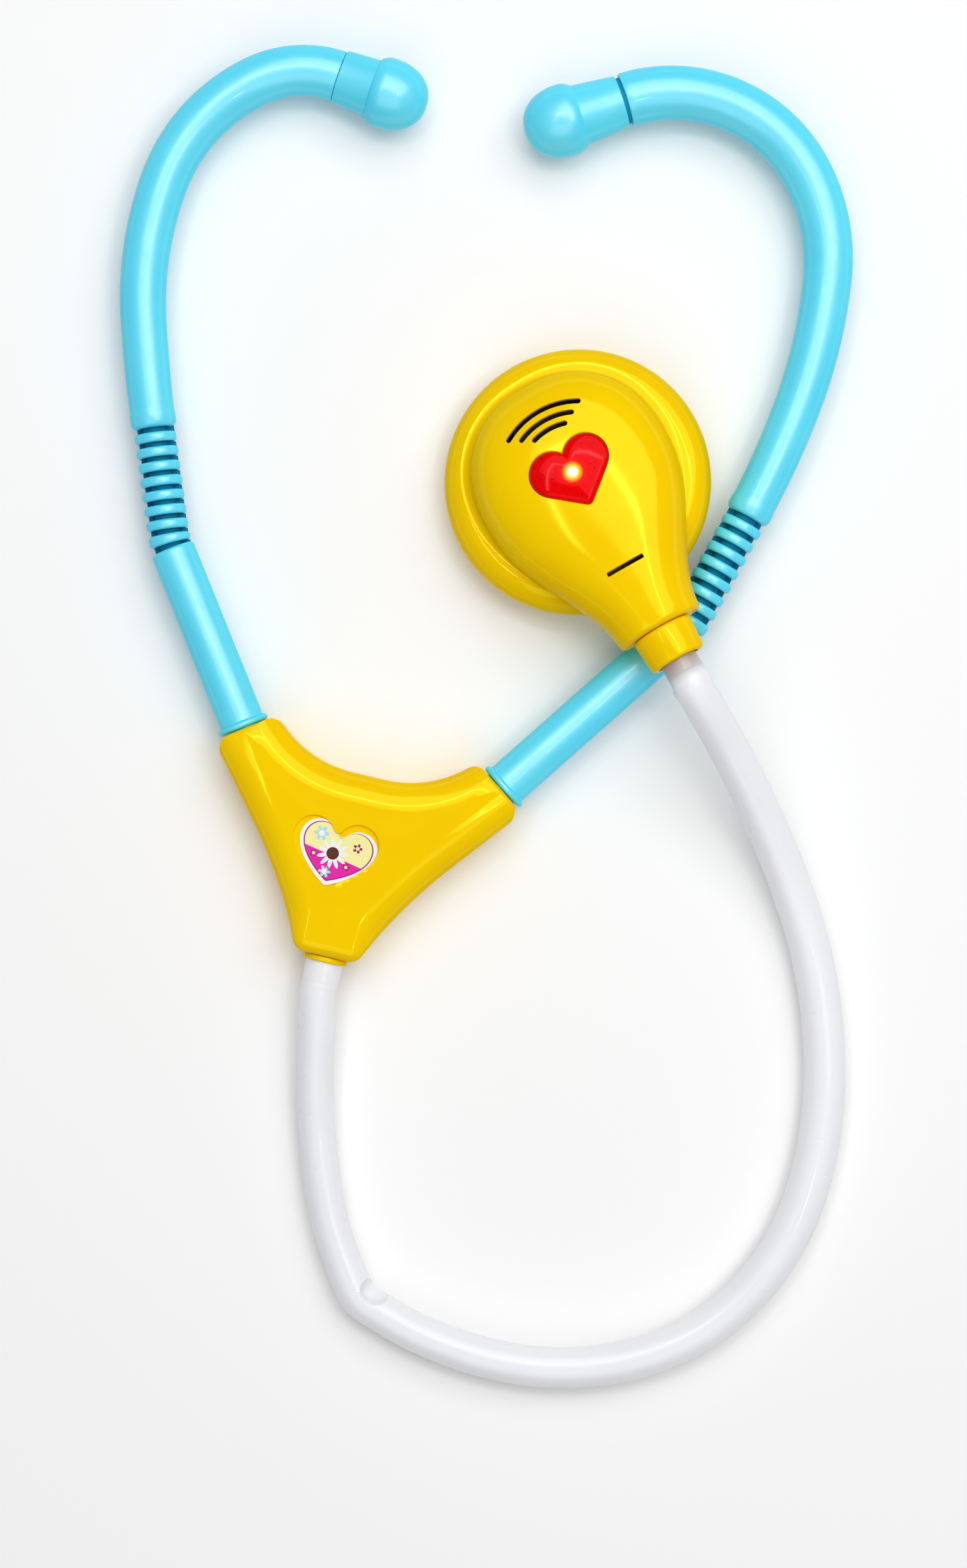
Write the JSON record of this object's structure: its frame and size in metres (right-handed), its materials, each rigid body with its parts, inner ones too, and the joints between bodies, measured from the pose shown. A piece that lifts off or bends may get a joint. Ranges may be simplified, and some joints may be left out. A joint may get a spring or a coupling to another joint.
{
  "type": "toy stethoscope",
  "caption": "Toy stethoscope with bent ear tubes on ribbed flexible necks, a Y-shaped yoke, a soft hose and a round chest piece with a heart-shaped light button.",
  "frame": {"origin": "on the flat back of the yoke, below the point where the two ear tube axes and the middle line meet", "axes": "+Y up the middle line of the yoke towards the ears, +Z out of the front face, away from the surface that the toy lies on, +X towards the chest piece's side"},
  "size_m": [0.2127, 0.3119, 0.0317],
  "materials": {
    "yellow_plastic": "glossy moulded, yellow",
    "blue_plastic": "glossy moulded, blue",
    "hose_rubber": "soft white vinyl, glossy, a little translucent",
    "pad_rubber": "soft silicone",
    "red_lens": "translucent red lens",
    "badge_print": "printed film",
    "screw_steel": "zinc plated",
    "cell_steel": "nickel plated",
    "contact_brass": "stamped spring leaf",
    "board": "circuit board laminate",
    "lamp": "clear lamp body",
    "speaker_basket": "pressed can",
    "cone_paper": "thin cone"
  },
  "bodies": {
    "yoke": {"yoke_back": "yellow_plastic", "yoke_front": "yellow_plastic", "yoke_screws": "screw_steel", "yoke_badge": "badge_print", "yoke_bush": "yellow_plastic", "hose": "hose_rubber", "chest_base": "yellow_plastic", "chest_top": "yellow_plastic", "chest_collar": "yellow_plastic", "chest_back": "yellow_plastic", "back_screws": "screw_steel", "battery_door": "yellow_plastic", "door_screw": "screw_steel", "battery_cells": "cell_steel", "battery_contacts": "contact_brass", "circuit_board": "board", "led": "lamp", "button_pad": "pad_rubber", "speaker": "speaker_basket", "speaker_cone": "cone_paper"},
    "left_arm": {"left_lower_tube": "blue_plastic", "left_neck": "blue_plastic"},
    "left_ear": {"left_upper_tube": "blue_plastic", "left_ear_tip": "blue_plastic"},
    "right_arm": {"right_lower_tube": "blue_plastic", "right_neck": "blue_plastic"},
    "right_ear": {"right_upper_tube": "blue_plastic", "right_ear_tip": "blue_plastic"},
    "button": {"heart_button": "red_lens"}
  },
  "joints": [
    {"name": "left_swivel", "type": "hinge", "parent": "yoke", "child": "left_arm", "pos_m": [0, 0, 0.0086], "axis": [0.5764, -0.8171, 0], "range_deg": [-20, 20]},
    {"name": "right_swivel", "type": "hinge", "parent": "yoke", "child": "right_arm", "pos_m": [0, 0, 0.0086], "axis": [0.5764, 0.8171, 0], "range_deg": [-20, 20]},
    {"name": "left_flex", "type": "hinge", "parent": "left_arm", "child": "left_ear", "pos_m": [-0.05805, 0.08229, 0.0086], "axis": [0, 0, 1], "range_deg": [-4, 25], "stiffness_Nm_per_rad": 0.4, "deforming": ["left_neck"]},
    {"name": "right_flex", "type": "hinge", "parent": "right_arm", "child": "right_ear", "pos_m": [0.06456, 0.09152, 0.0086], "axis": [0, 0, -1], "range_deg": [-4, 25], "stiffness_Nm_per_rad": 0.4, "deforming": ["right_neck"]},
    {"name": "heart_press", "type": "slide", "parent": "yoke", "child": "button", "axis": [0.1033, -0.0352, -0.994], "range_m": [0, 0.0012], "stiffness_N_per_m": 250, "deforming": ["button_pad"]}
  ]
}
